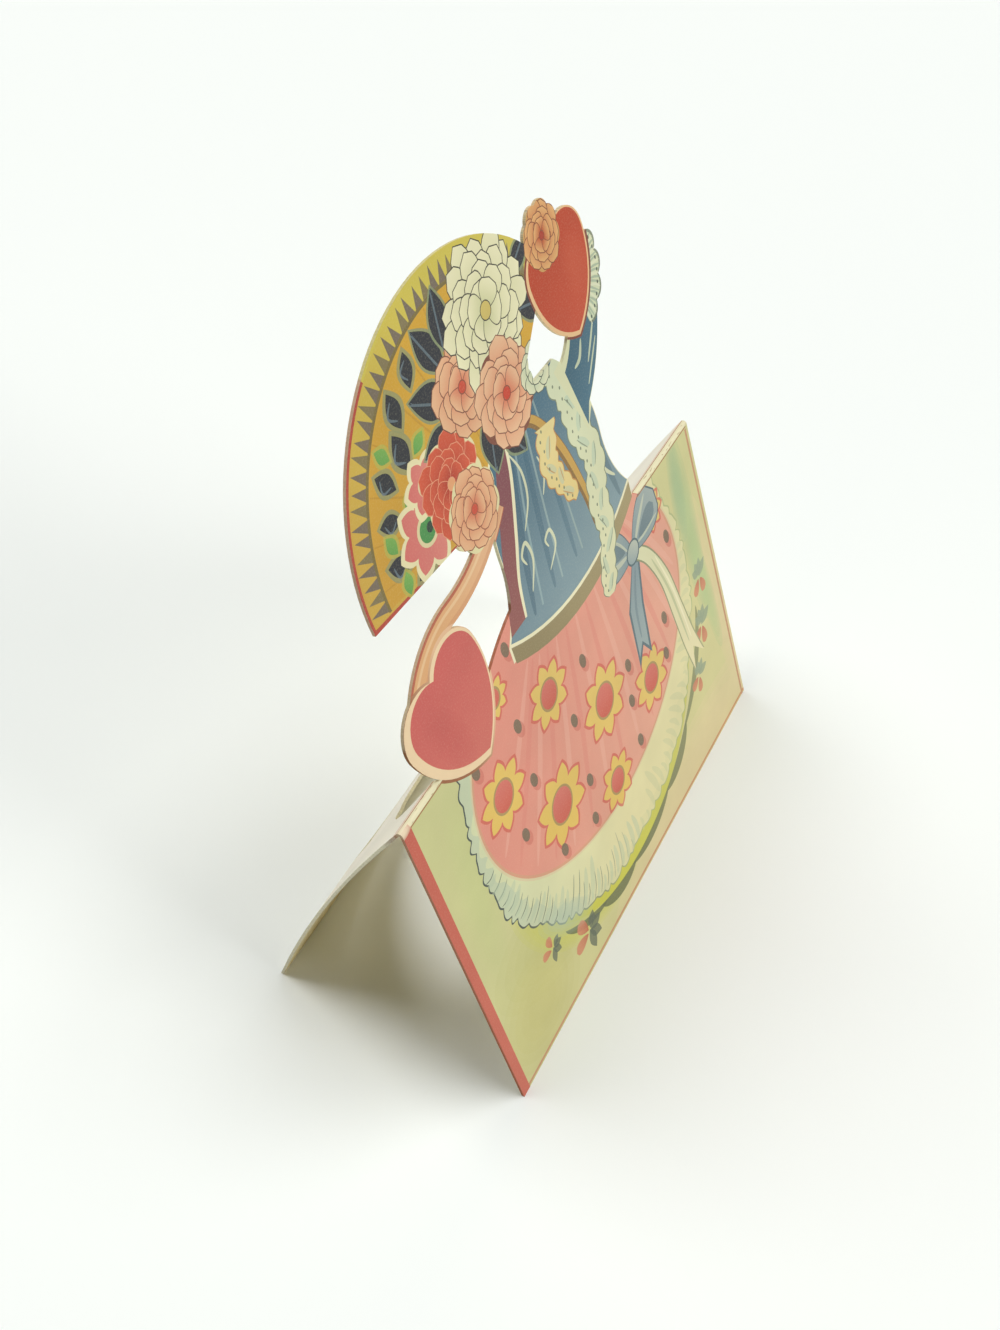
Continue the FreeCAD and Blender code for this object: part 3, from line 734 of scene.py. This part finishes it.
for at, length, width, turn in (
    ((34.6, 107.0), 8.6, 4.0, 118),
    ((38.2, 109.0), 8.0, 3.8, 84),
    ((32.4, 101.6), 9.6, 4.6, 150),
    ((31.4, 96.6), 7.4, 3.6, 182),
    ((57.4, 99.8), 6.8, 3.6, -16),
    ((57.4, 107.0), 6.0, 3.0, 30),
    ((41.4, 90.4), 9.4, 5.4, 76),
    ((45.6, 87.6), 7.4, 4.2, 120),
):
    ink("#85906c", leaf(at, length + 0.9, width + 0.8, turn), cover=0.9)
    ink("#2c2e34", leaf(at, length, width, turn))
    spine = [on_ellipse(at, (length * 0.42, length * 0.42), turn + side) for side in (180, 174, 3, 0)]
    ink("#64747c", stroke(spine, 0.34, 0.08, 4), cover=0.8)
ink("#e0d6a6", scalloped((31.2, 90.6), 5.8))
blossom((30.8, 90.8), 6.6, 11, 3, "#cf5a3e", "#ad3d2c", "#dd9a78", "#dfa070", turn=10, weight=0.11)
blossom((38.6, 99.6), 6.4, 9, 3, "#e3b78e", "#d07a5c", "#7d4a3a", "#c34c38", turn=5)
blossom((47.6, 104.8), 9.6, 15, 4, "#e6e1ba", "#c9c99a", "#35342f", "#c9b566", turn=8, weight=0.15)
ink("#ddd3a2", scalloped((33.4, 85.0), 5.2))
blossom((33.4, 85.0), 5.6, 9, 3, "#e2b58a", "#cf7656", "#96553e", "#c44f3a", turn=22)
ink("#7d4a3a", scalloped((46.6, 93.2), 6.2))
blossom((46.8, 93.4), 7.2, 10, 3, "#e5bb94", "#d37a5a", "#7d4a3a", "#c5442f", turn=14)
blossom((54.2, 92.4), 3.6, 8, 2, "#dddcb8", "#b5c4a6", "#4c564c", "#c9b168")


# Ruffle behind the upper heart: a pale green lace ruffle that fans out in scallops.

FRILL_AT = (67.4, 97.3)
FRILL_REACH = 7.9
frill_bulge = 0.56 * 2 * FRILL_REACH * math.sin(math.radians(13))
for grown, colour, shade in ((0.0, "#66705f", "#8a9078"), (-0.3, "#c4cfae", "#dcdcb6")):
    turns = [-72 - grown + (26 + grown) * fold for fold in range(5)]
    frill = [FRILL_AT] + [on_ellipse(FRILL_AT, (FRILL_REACH,) * 2, turn, grown) for turn in turns]
    ink(colour, outline(frill, [None] + [frill_bulge] * 4 + [None]), shade, ((66, 90), (76, 102)))
for fold in range(26):
    turn = -70 + 4.2 * fold
    near = 4.8 + 0.9 * math.sin(fold * 2.9)
    bends = ((near, 0), (near + 1.6, 1.5), (8.5, 0))
    line = [on_ellipse(FRILL_AT, (reach, reach), turn + bent) for reach, bent in bends]
    ink("#94a894" if fold % 3 else "#dfe0c4", stroke(line, 0.34, 0.08, 4), cover=0.7)
    if fold % 3 == 1:
        ink("#4c5549", ellipse(on_ellipse(FRILL_AT, (7.6, 7.6), turn), (0.2, 0.28), steps=8))


# Hearts: two plain red hearts hang from the ribbons. Each has a cream edge like cut paper.
# The lower one reaches over the crease on to the front panel.

HEART_FULLNESS = 0.29


def heart(tip, width, height, tilt):
    """A heart on its tip, leaning left: two lobes and two long sides."""
    lean = math.radians(tilt)
    lobe = HEART_FULLNESS * width
    shoulder = height - lobe
    notch = shoulder + math.sqrt(lobe * width - width**2 / 4)
    side = (width**2 / 4 + shoulder**2) / width
    corners = []
    for a, b in ((0, 0), (width / 2, shoulder), (0, notch), (-width / 2, shoulder)):
        x = tip[0] + a * math.cos(lean) - b * math.sin(lean)
        corners.append((x, tip[1] + a * math.sin(lean) + b * math.cos(lean)))
    return outline(corners, [side, lobe, lobe, side])


ink("#99613f", heart((20.2, 53.6), 20.4, 22.0, 17.2), "#e2b892", ((15, 57), (22.6, 59.6)))
ink("#ecd0a8", heart((20.1, 54.0), 19.3, 21.0, 17.2))
# The lower heart is inked a paler red than the upper one; the paler red is painted glare.
ink("#c9605a", heart((20.45, 54.9), 17.5, 19.5, 17.2), "#cc6c60", ((14, 72), (20, 56)))
wash("#b9504c", ellipse((14.2, 63), (3.2, 7.5), turn=24, steps=24), 0.4)
ink("#7d4032", heart((66.8, 89.5), 17.4, 17.7, 5))
ink("#e6bd8c", heart((66.7, 89.9), 16.5, 16.9, 5))
ink("#b34124", heart((66.8, 90.5), 15.5, 16.1, 5), "#bf4c30", ((62, 106), (70, 94)))
wash("#c55a3c", ellipse((69.6, 99), (3.4, 4.8), turn=10, steps=24), 0.4)
ink("#c99a5c", scalloped((63.7, 106.2), 4.1))
blossom((63.7, 106.2), 4.6, 9, 3, "#dfae72", "#b9542f", "#7d4432", "#a83d2c", turn=22, weight=0.12)


# Crease: the ink has cracked off along the fold, down to the cream board, between what is
# left of a brown rule on the panel and a pink one on the leg. The near corner is worn pale.

ink("#a5704a", block(1.9, FRONT_RUN - 0.28, 9.7, FRONT_RUN - 0.06))
ink("#a5704a", block(70.5, FRONT_RUN - 0.28, 89.4, FRONT_RUN - 0.06))
FAR = WIDTH + BLEED
TANNED = LEG_START + 1.6
# Painted light: the leg's outer face is inked a whiter cream than the panel's board, so it reads
# brighter.
ink("#f2ebd8", block(-BLEED, LEG_START - 0.1, FAR, SHEET_END + BLEED), leg=True)
tanned = block(-BLEED, LEG_START - 0.1, FAR, TANNED)
ink("#ecd3b4", tanned, "#f2ebd8", ((0, LEG_START), (0, TANNED)), leg=True)
ink("#b07a52", block(-BLEED, LEG_START - 0.28, FAR, LEG_START - 0.08), leg=True)
ink("#cf9a84", block(-BLEED, LEG_START + 0.7, FAR, LEG_START + 0.95), leg=True)
for fleck in range(84):
    x = 1.2 + 1.07 * fleck + 0.9 * math.sin(fleck * 5.3)
    s = FRONT_RUN + bend_run * (0.48 + 0.42 * math.sin(fleck * 2.17))
    length = 0.22 + 0.5 * math.sin(fleck * 1.31) ** 4
    half = 0.05 + 0.04 * math.sin(fleck * 3.1) ** 2
    streak = ellipse((x, s), (length, half), turn=7 * math.sin(fleck), steps=8)
    ink("#a97a4c" if fleck % 3 else "#b9a070", streak, cover=0.35 + 0.4 * min(x / 6, 1), leg=True)
for leg in (False, True):
    wash("#efe0c0", ellipse((0.2, FRONT_RUN + 0.4), (2.0, 1.0), steps=20), 0.9, leg=leg)


# The sheet's outlines and inks are cut into one flat mesh. Each place takes the inks that lie
# there, and the mesh is folded into the front and the leg. The plain inner side is cut anew
# from the rim alone, because it needs none of the print's edges.

BEND_STEPS = 10
LEG_STEPS = 26
PRINT_TOUCH = 1e-4
RIM_TOUCH = 2e-4

outlines = [block(0, 0, WIDTH, SHEET_END), die_cut]
outlines += [window[::-1] if signed_area(window) < 0 else window for window in windows]
levels = [FRONT_RUN + bend_run * step / BEND_STEPS for step in range(BEND_STEPS + 1)]
levels += [LEG_START + (SHEET_END - LEG_START) * step / LEG_STEPS for step in range(1, LEG_STEPS)]


def cut_flat(inks, marks, touch):
    """The flat sheet in triangles, cut along its outlines, the fold's levels and the inks' loops.

    Marks are more corners, and places within touch are one. Each triangle comes with whether
    it is on the leg, and its inks.
    """
    points, loops, lines = [Vector(place) for place in marks], [], []
    for loop in outlines + inks:
        loops.append(list(range(len(points), len(points) + len(loop))))
        points += [Vector(place) for place in loop]
    for level in levels:
        lines.append((len(points), len(points) + 1))
        points += [Vector((0, level)), Vector((WIDTH, level))]
    places, _, triangles, origins, _, sources = delaunay_2d_cdt(points, lines, loops, 1, touch)
    cut = []
    for triangle, source in zip(triangles, sources):
        if 0 in source and not any(window in source for window in range(2, len(outlines))):
            printed = [number - len(outlines) for number in sorted(source) if number >= len(outlines)]
            cut.append((triangle, 1 not in source, printed))
    return places, cut, origins


def past_crease(on_leg, s):
    """Whether a corner is the leg's own. The two panels share those on the crease."""
    return on_leg and s > FRONT_RUN + ON_CREASE / 10


def facing(corners, flat_places, up):
    """Whether a triangle's corners run anticlockwise on the flat sheet, or clockwise if not up."""
    a, b, c = (Vector(flat_places[corner]) for corner in corners)
    return ((b - a).cross(c - a) > 0) == up


PRINTED, PLAIN, CUT = range(3)
corner_of, flat_of, top_co = {}, [], []
top_faces, top_colours = [], []
board_colour = linear(CREAM)
places, cut, _ = cut_flat([layer[5] for layer in print_layers], [], PRINT_TOUCH)
for triangle, on_leg, printed in cut:
    corners = []
    for index in triangle:
        x, s = places[index]
        key = (index, past_crease(on_leg, s))
        if key not in corner_of:
            corner_of[key] = len(flat_of)
            flat_of.append((x, s))
            top_co.append(folded(x, s, 0.0, on_leg))
        corners.append(corner_of[key])
    colours = [board_colour] * 3
    for number in printed:
        layer = print_layers[number]
        if layer[4] == on_leg:
            for place, corner in enumerate(corners):
                laid = ink_at(layer, *flat_of[corner])
                colours[place] = [a + (b - a) * layer[3] for a, b in zip(colours[place], laid)]
    if not facing(corners, flat_of, True):
        corners, colours = corners[::-1], colours[::-1]
    top_faces.append(corners)
    top_colours.append(colours)

uses = {}
for face in top_faces:
    for a, b in zip(face, face[1:] + face[:1]):
        uses.setdefault(frozenset((a, b)), []).append((a, b))
rim = [pairs[0] for pairs in uses.values() if len(pairs) == 1]
rim_corners = sorted({corner for pair in rim for corner in pair})
on_leg_of = {corner: key[1] for key, corner in corner_of.items()}

under_of = {corner: number for number, corner in enumerate(rim_corners)}
under_flat = [flat_of[corner] for corner in rim_corners]
under_co = [folded(*flat_of[corner], BOARD, on_leg_of[corner]) for corner in rim_corners]
under_faces = []
places, cut, origins = cut_flat([], under_flat, RIM_TOUCH)
marks = len(rim_corners)
for triangle, on_leg, _ in cut:
    corners = []
    for index in triangle:
        x, s = places[index]
        side = past_crease(on_leg, s)
        met = [rim_corners[mark] for mark in origins[index] if mark < marks]
        met = [corner for corner in met if on_leg_of[corner] == side]
        key = met[0] if met else (index, side)
        if key not in under_of:
            under_of[key] = len(under_flat)
            under_flat.append((x, s))
            under_co.append(folded(x, s, BOARD, on_leg))
        corners.append(under_of[key])
    under_faces.append(corners if facing(corners, under_flat, False) else corners[::-1])

count = len(flat_of)
faces = top_faces + [[corner + count for corner in face] for face in under_faces]
faces += [[b, a, under_of[a] + count, under_of[b] + count] for a, b in rim]
finish = [PRINTED] * len(top_faces) + [PLAIN] * len(under_faces) + [CUT] * len(rim)

card_mesh = bpy.data.meshes.new("printed_card")
card_mesh.from_pydata(top_co + under_co, [], faces)
card_mesh.polygons.foreach_set("material_index", finish)
flat_layer = card_mesh.attributes.new("sheet", "FLOAT_VECTOR", "POINT")
for index, (x, s) in enumerate(flat_of + under_flat):
    flat_layer.data[index].vector = (x / MM, s / MM, 0 if index < count else BOARD / MM)
ink_layer = card_mesh.color_attributes.new("ink", "FLOAT_COLOR", "CORNER")
corner_colours = [colour for colours in top_colours for colour in colours]
for index, colour in enumerate(corner_colours):
    ink_layer.data[index].color = (*colour, 1)
for index in range(len(corner_colours), len(ink_layer.data)):
    ink_layer.data[index].color = (*board_colour, 1)
edge_ink = {}
for face, colours in zip(top_faces, top_colours):
    for corner, colour in zip(face, colours):
        edge_ink[corner] = colour
# Painted shade: the cut edges of the front panel and picture are darkened towards a brown that also
# stands for their shade; the leg's edges stay cream.
EDGE_BROWN_AND_SHADE = linear("#9a7450")
EDGE_SHARE = 0.55
for polygon in card_mesh.polygons:
    if polygon.material_index == CUT:
        for index in polygon.loop_indices:
            corner = card_mesh.loops[index].vertex_index
            if corner >= count:
                corner = rim_corners[corner - count]
            on_leg = flat_of[corner][1] > FRONT_RUN and top_co[corner].y > 0
            tone = board_colour if on_leg else EDGE_BROWN_AND_SHADE
            mixed = [a + (b - a) * EDGE_SHARE for a, b in zip(edge_ink[corner], tone)]
            ink_layer.data[index].color = (*mixed, 1)
card_mesh.update()
card_mesh.validate()

card = bpy.data.objects.new("printed_card", card_mesh)
bpy.context.scene.collection.objects.link(card)

SHARP = math.radians(32)
shaped = bmesh.new()
shaped.from_mesh(card_mesh)
for face in shaped.faces:
    face.smooth = True
for edge in shaped.edges:
    edge.smooth = edge.calc_face_angle(0) <= SHARP
shaped.to_mesh(card_mesh)
shaped.free()


# Coated side: uncoated cream board with flat litho inks. The ink lies thinly on the fibres, so
# it is slightly glossier than the board, and finely speckled. The noise scales are per metre:
# specks of 0.26 mm, clouds of 14 mm and fibres of 0.7 mm.

def node(tree, kind, settings=None, **links):
    """Add a shader node with its settings, and a value, a node or a node's output per socket."""
    made = tree.nodes.new("ShaderNode" + kind)
    for name, value in (settings or {}).items():
        setattr(made, name, value)
    for name, value in links.items():
        socket = made.inputs[int(name[1:]) if name[1:].isdigit() else name.replace("_", " ")]
        if isinstance(value, bpy.types.Node):
            value = value.outputs[0]
        if isinstance(value, bpy.types.NodeSocket):
            tree.links.new(value, socket)
        else:
            socket.default_value = value
    return made


def material(name):
    made = bpy.data.materials.new(name)
    made.use_nodes = True
    made.node_tree.nodes.clear()
    return made, made.node_tree


MIXED = {"data_type": "RGBA"}
MULTIPLIED = {"data_type": "RGBA", "blend_type": "MULTIPLY"}

litho, tree = material("litho_ink_on_board")
sheet_place = node(tree, "Attribute", {"attribute_name": "sheet"}).outputs["Vector"]
ink_colour = node(tree, "Attribute", {"attribute_name": "ink"}).outputs["Color"]
speckle = node(tree, "TexNoise", Vector=sheet_place, Scale=3800, Detail=2, Roughness=0.7)
cloudy = node(tree, "TexNoise", Vector=sheet_place, Scale=70, Detail=3, Roughness=0.55)
thin = node(tree, "MapRange", Value=speckle, From_Min=0.5, From_Max=0.78, To_Min=0, To_Max=0.12)
paper_tone = (*linear(CREAM), 1)
speckled = node(tree, "Mix", MIXED, _0=thin, _6=ink_colour, _7=paper_tone).outputs[2]
value = node(tree, "MapRange", Value=cloudy, From_Min=0.3, From_Max=0.7, To_Min=0.94, To_Max=1.05)
toned = node(tree, "Mix", MULTIPLIED, _0=1.0, _6=speckled, _7=value).outputs[2]
fibres = node(tree, "TexNoise", Vector=sheet_place, Scale=1400, Detail=3, Roughness=0.65)
bump = node(tree, "Bump", Strength=0.12, Distance=0.00006, Height=fibres)
shader = node(
    tree, "BsdfPrincipled", Base_Color=toned, Roughness=0.5, Specular_IOR_Level=0.22, Normal=bump
)
node(tree, "OutputMaterial", Surface=shader)


# Plain side: the same board without a coating, soft and matt. It scatters the light, so it
# looks even and has no shine. Its fibres are 1.1 mm, and the faint mottle is 22 mm wide.

plain, tree = material("uncoated_card_stock")
sheet_place = node(tree, "Attribute", {"attribute_name": "sheet"}).outputs["Vector"]
fibres = node(tree, "TexNoise", Vector=sheet_place, Scale=900, Detail=4, Roughness=0.6)
mottle = node(tree, "TexNoise", Vector=sheet_place, Scale=45, Detail=2)
tone = node(tree, "MapRange", Value=mottle, From_Min=0.3, From_Max=0.7, To_Min=0.0, To_Max=1.0)
dark, pale = (*linear("#e0cfa0"), 1), (*linear("#e8dab2"), 1)
board = node(tree, "Mix", MIXED, _0=tone, _6=dark, _7=pale).outputs[2]
bump = node(tree, "Bump", Strength=0.2, Distance=0.00008, Height=fibres)
shader = node(
    tree, "BsdfPrincipled", Base_Color=board, Roughness=0.85, Specular_IOR_Level=0.2, Normal=bump
)
node(tree, "OutputMaterial", Surface=shader)


# Cut edge: the board sheared by a steel rule, so its layers of fibre show. It has browned and
# takes a little of the ink beside it. On the front panel and picture its darker tone is also
# painted shade, so it reads as a thin darker line round the print. Its fibres are 0.33 mm.

cut, tree = material("die_cut_board_edge")
sheet_place = node(tree, "Attribute", {"attribute_name": "sheet"}).outputs["Vector"]
edge_colour = node(tree, "Attribute", {"attribute_name": "ink"}).outputs["Color"]
fibres = node(tree, "TexNoise", Vector=sheet_place, Scale=3000, Detail=3, Roughness=0.7)
value = node(tree, "MapRange", Value=fibres, From_Min=0.3, From_Max=0.7, To_Min=0.82, To_Max=1.12)
board = node(tree, "Mix", MULTIPLIED, _0=1.0, _6=edge_colour, _7=value).outputs[2]
bump = node(tree, "Bump", Strength=0.4, Distance=0.00006, Height=fibres)
shader = node(
    tree, "BsdfPrincipled", Base_Color=board, Roughness=0.9, Specular_IOR_Level=0.2, Normal=bump
)
node(tree, "OutputMaterial", Surface=shader)

for finish_material in (litho, plain, cut):
    card_mesh.materials.append(finish_material)
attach(card, "root")
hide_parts("folded_card")


# Floor: a pale table that the card stands on, with nothing on it but the card's shadow. Its
# cloth is nearly white and matt, with a soft weave of 1.1 mm, so it takes the light evenly.

FLOOR_REACH = 3.0
floor_mesh = bpy.data.meshes.new("floor")
floor_corners = block(-FLOOR_REACH, -FLOOR_REACH, FLOOR_REACH, FLOOR_REACH)
floor_mesh.from_pydata([(x, y, 0) for x, y in floor_corners], [], [(0, 1, 2, 3)])
floor = bpy.data.objects.new("floor", floor_mesh)
bpy.context.scene.collection.objects.link(floor)
table, tree = material("white_table_cloth")
place = node(tree, "TexCoord").outputs["Object"]
weave = node(tree, "TexNoise", Vector=place, Scale=900, Detail=2)
bump = node(tree, "Bump", Strength=0.1, Distance=0.0001, Height=weave)
white = (*linear("#fafefc"), 1)
shader = node(
    tree, "BsdfPrincipled", Base_Color=white, Roughness=0.9, Specular_IOR_Level=0.1, Normal=bump
)
node(tree, "OutputMaterial", Surface=shader)
floor_mesh.materials.append(table)


# Light: soft daylight from a window behind the card and from the room before it.

world = bpy.data.worlds.new("white_room")
bpy.context.scene.world = world
world.use_nodes = True
tree = world.node_tree
tree.nodes.clear()
seen = node(tree, "LightPath").outputs
EITHER = {"operation": "MAXIMUM"}
direct = node(tree, "Math", EITHER, _0=seen["Is Camera Ray"], _1=seen["Is Glossy Ray"])
direct = node(tree, "Math", EITHER, _0=direct, _1=seen["Is Transmission Ray"])
lit = node(tree, "Background", Color=(*linear("#fdfdff"), 1), Strength=0.02)
white = node(tree, "Background", Color=(1, 1, 1, 1), Strength=1.0)
room = node(tree, "MixShader", _0=direct, _1=lit, _2=white)
node(tree, "OutputWorld", Surface=room)


def daylight(name, towards, spread, level, colour):
    """Soft daylight from a direction. A level of 1 alone shows a surface that faces it as it is."""
    lamp = bpy.data.lights.new(name, "SUN")
    lamp.angle = math.radians(spread)
    lamp.energy = level * math.pi
    lamp.color = linear(colour)
    holder = bpy.data.objects.new(name, lamp)
    holder.rotation_euler = Vector(towards).to_track_quat("Z", "Y").to_euler()
    bpy.context.scene.collection.objects.link(holder)


daylight("window_behind", (0, 0.53, 0.85), 32, 0.49, "#fffffd")
daylight("ceiling", (0.32, -0.19, 0.93), 28, 0.43, "#fffffd")
daylight("room_front", (0.05, -0.92, 0.38), 28, 0.42, "#fffefa")


# Camera: above the card's left end, looking along the card and down on it.

CAMERA_AT = Vector((-0.126395, front_foot / MM - 0.03491, 0.203218))
YAW, PITCH, ROLL = math.radians(63.34), math.radians(49.52), math.radians(1.46)
LENS = 38.25
forward = Vector((math.sin(YAW) * math.cos(PITCH), math.cos(YAW) * math.cos(PITCH), -math.sin(PITCH)))
right = Vector((math.cos(YAW), -math.sin(YAW), 0))
up = right.cross(forward)
rolled_right = math.cos(ROLL) * right + math.sin(ROLL) * up
rolled_up = math.cos(ROLL) * up - math.sin(ROLL) * right
camera_data = bpy.data.cameras.new("camera")
camera_data.sensor_width = 36
camera_data.lens = LENS
camera_data.clip_start = 0.01
camera = bpy.data.objects.new("camera", camera_data)
turned = Matrix((rolled_right, rolled_up, -forward)).transposed()
camera.matrix_world = Matrix.Translation(CAMERA_AT) @ turned.to_4x4()
bpy.context.scene.collection.objects.link(camera)
bpy.context.scene.camera = camera
bpy.context.scene.view_settings.view_transform = "Standard"
